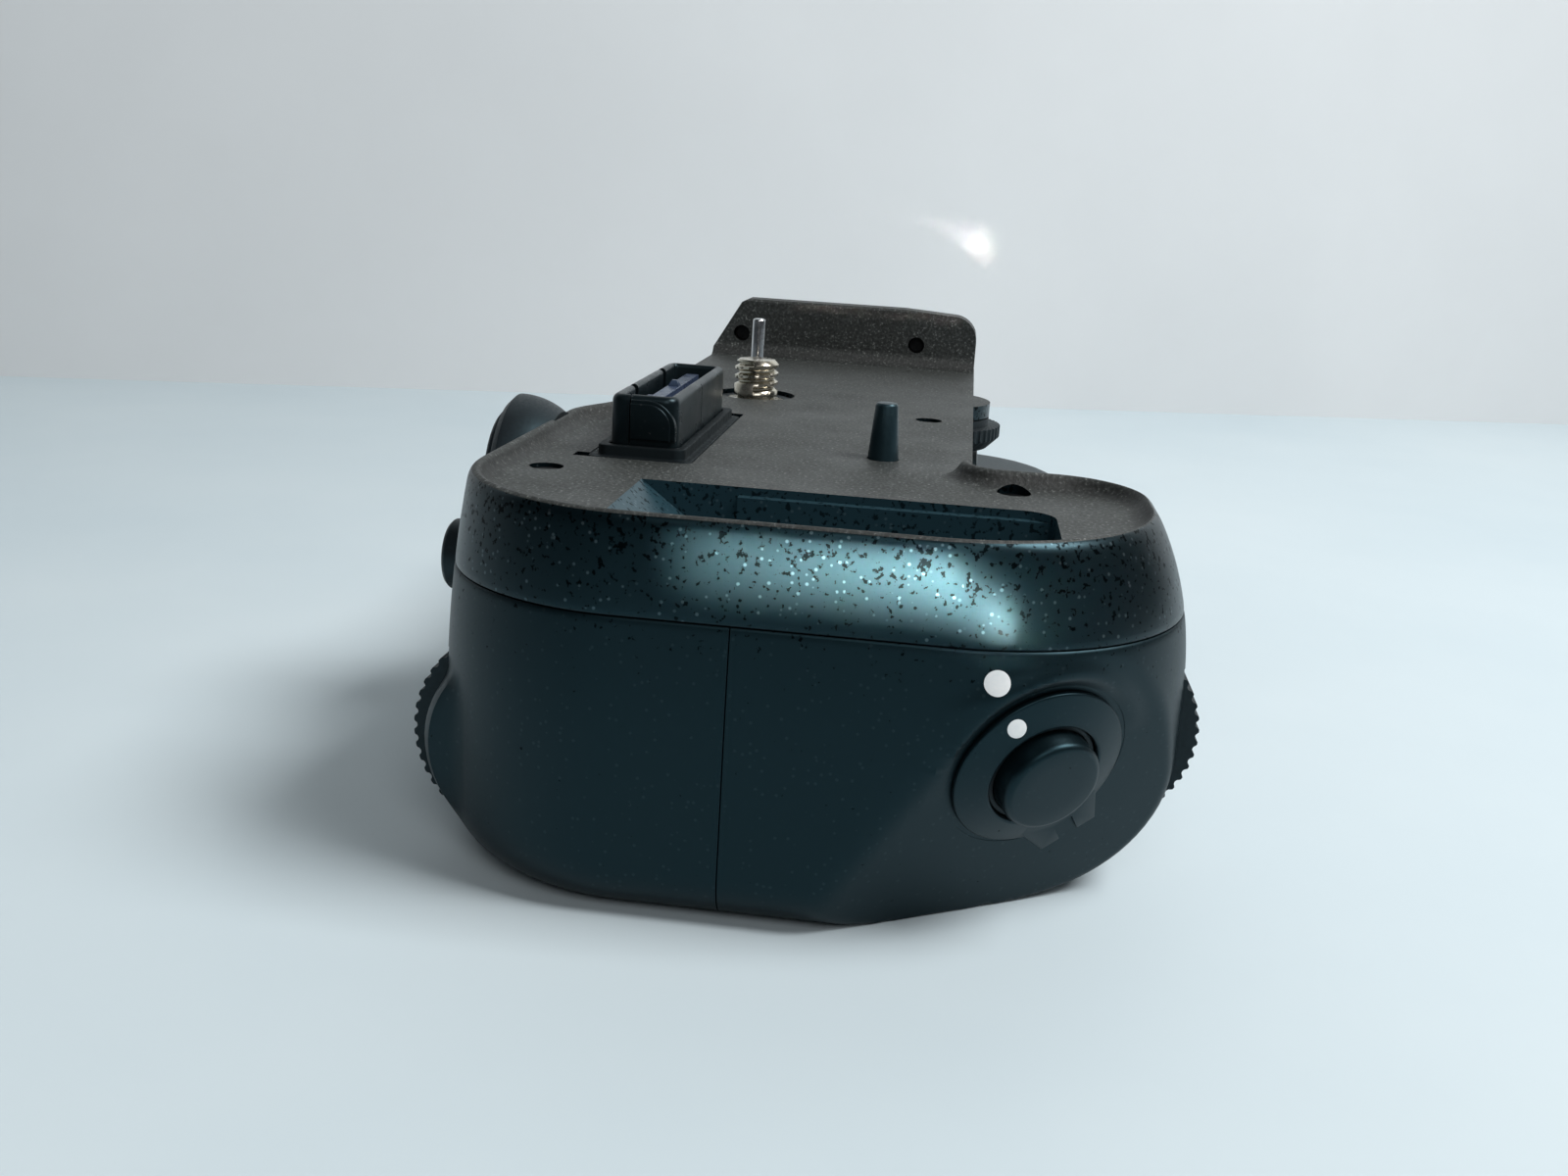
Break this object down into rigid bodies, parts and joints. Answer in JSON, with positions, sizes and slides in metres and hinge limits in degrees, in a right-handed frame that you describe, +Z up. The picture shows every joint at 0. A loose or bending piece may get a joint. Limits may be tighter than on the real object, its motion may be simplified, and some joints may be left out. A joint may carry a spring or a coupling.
{
  "type": "camera battery grip",
  "caption": "Vertical camera battery grip with a locking shutter release, control dials, selector, wheel-driven mounting screw, signal connector and slide-out battery tray.",
  "frame": {"origin": "mouth of the tripod socket in the base, on the common axis of the socket and the mounting screw", "axes": "+X along the grip to the shutter-release end, +Y to the lens side of the camera, +Z up to the camera"},
  "size_m": [0.152, 0.0799, 0.0465],
  "materials": {
    "casing": "fine moulded texture, matte black",
    "painted_band": "black pebble paint with fine sparkle",
    "grip_rubber": "matte rubber",
    "control_black": "satin black moulding",
    "dial_black": "satin black, grooved",
    "inner_plastic": "plain moulding",
    "board": "solder resist",
    "steel": "ground and polished",
    "nickel": "nickel plate",
    "brass": "bright",
    "connector_black": "gloss black moulding",
    "contact_tongue": "dark moulding with plated contacts",
    "seal_rubber": "soft rubber",
    "dark_screw": "blackened steel"
  },
  "bodies": {
    "grip": {"rear_casing": "casing", "front_casing": "casing", "top_casing": "painted_band", "grip_rubber": "grip_rubber", "shutter_bush": "inner_plastic", "shutter_board": "board", "main_dial_axle": "steel", "sub_dial_axle": "steel", "rear_button_bezel": "inner_plastic", "rear_button_board": "board", "selector_housing": "casing", "wheel_axle": "steel", "idler_axle": "steel", "screw_bush": "inner_plastic", "locating_pin": "steel", "locating_peg": "control_black", "connector_housing": "connector_black", "connector_contacts": "contact_tongue", "connector_seal": "seal_rubber", "tripod_socket": "steel", "battery_chamber": "inner_plastic", "chamber_contacts": "brass", "main_board": "board", "plate_screws": "dark_screw", "wall_screws": "dark_screw", "base_screws": "dark_screw"},
    "lock_ring": {"shutter_lock_ring": "control_black"},
    "release": {"shutter_button": "control_black"},
    "rear_dial": {"main_dial": "dial_black"},
    "front_dial": {"sub_dial": "dial_black"},
    "thumb_button": {"rear_button": "control_black"},
    "gimbal": {"selector_gimbal": "inner_plastic"},
    "pad": {"selector_pad": "control_black"},
    "wheel": {"attachment_wheel": "dial_black"},
    "idler": {"idler_gear": "brass"},
    "camera_screw": {"mounting_screw": "nickel"},
    "tray": {"battery_tray": "inner_plastic", "tray_contacts": "brass", "end_cover": "casing"},
    "latch": {"cover_latch": "control_black"}
  },
  "joints": [
    {"name": "release_press", "type": "slide", "parent": "grip", "child": "release", "axis": [-0.8129, -0.4884, 0.3173], "range_m": [0, 0.0008], "stiffness_N_per_m": 400},
    {"name": "lock_turn", "type": "hinge", "parent": "grip", "child": "lock_ring", "pos_m": [0.0861, 0.0394, 0.017], "axis": [0.8129, 0.4884, -0.3173], "range_deg": [-45, 0]},
    {"name": "rear_dial_turn", "type": "hinge", "parent": "grip", "child": "rear_dial", "pos_m": [0.0726, -0.0109, 0.012], "axis": [1, 0, 0], "continuous": true},
    {"name": "front_dial_turn", "type": "hinge", "parent": "grip", "child": "front_dial", "pos_m": [0.068, 0.0455, 0.017], "axis": [1, 0, 0], "continuous": true},
    {"name": "thumb_press", "type": "slide", "parent": "grip", "child": "thumb_button", "axis": [0, 1, 0], "range_m": [0, 0.0007], "stiffness_N_per_m": 400},
    {"name": "pad_nod", "type": "hinge", "parent": "grip", "child": "gimbal", "pos_m": [0.0435, -0.0209, 0.0305], "axis": [1, 0, 0], "range_deg": [-4, 4], "stiffness_Nm_per_rad": 0.05},
    {"name": "pad_rock", "type": "hinge", "parent": "gimbal", "child": "pad", "pos_m": [0.0435, -0.0209, 0.0305], "axis": [0, 0, 1], "range_deg": [-4, 4], "stiffness_Nm_per_rad": 0.05},
    {"name": "wheel_turn", "type": "hinge", "parent": "grip", "child": "wheel", "pos_m": [-0.01, 0.025, 0.0365], "axis": [0, 0, 1], "continuous": true},
    {"name": "idler_turn", "type": "hinge", "parent": "grip", "child": "idler", "pos_m": [-0.00143, 0.01393, 0.0365], "axis": [0, 0, 1], "continuous": true},
    {"name": "screw_turn", "type": "hinge", "parent": "grip", "child": "camera_screw", "pos_m": [0, 0, 0.0365], "axis": [0, 0, 1], "continuous": true},
    {"name": "tray_slide", "type": "slide", "parent": "grip", "child": "tray", "axis": [-1, 0, 0], "range_m": [0, 0.095]},
    {"name": "latch_turn", "type": "hinge", "parent": "tray", "child": "latch", "pos_m": [-0.06, 0.00685, 0.0195], "axis": [1, 0, 0], "range_deg": [0, 90]}
  ],
  "couplings": [
    {"joint": "idler_turn", "follows": "wheel_turn", "ratio": -0.53846},
    {"joint": "screw_turn", "follows": "wheel_turn", "ratio": 1}
  ]
}
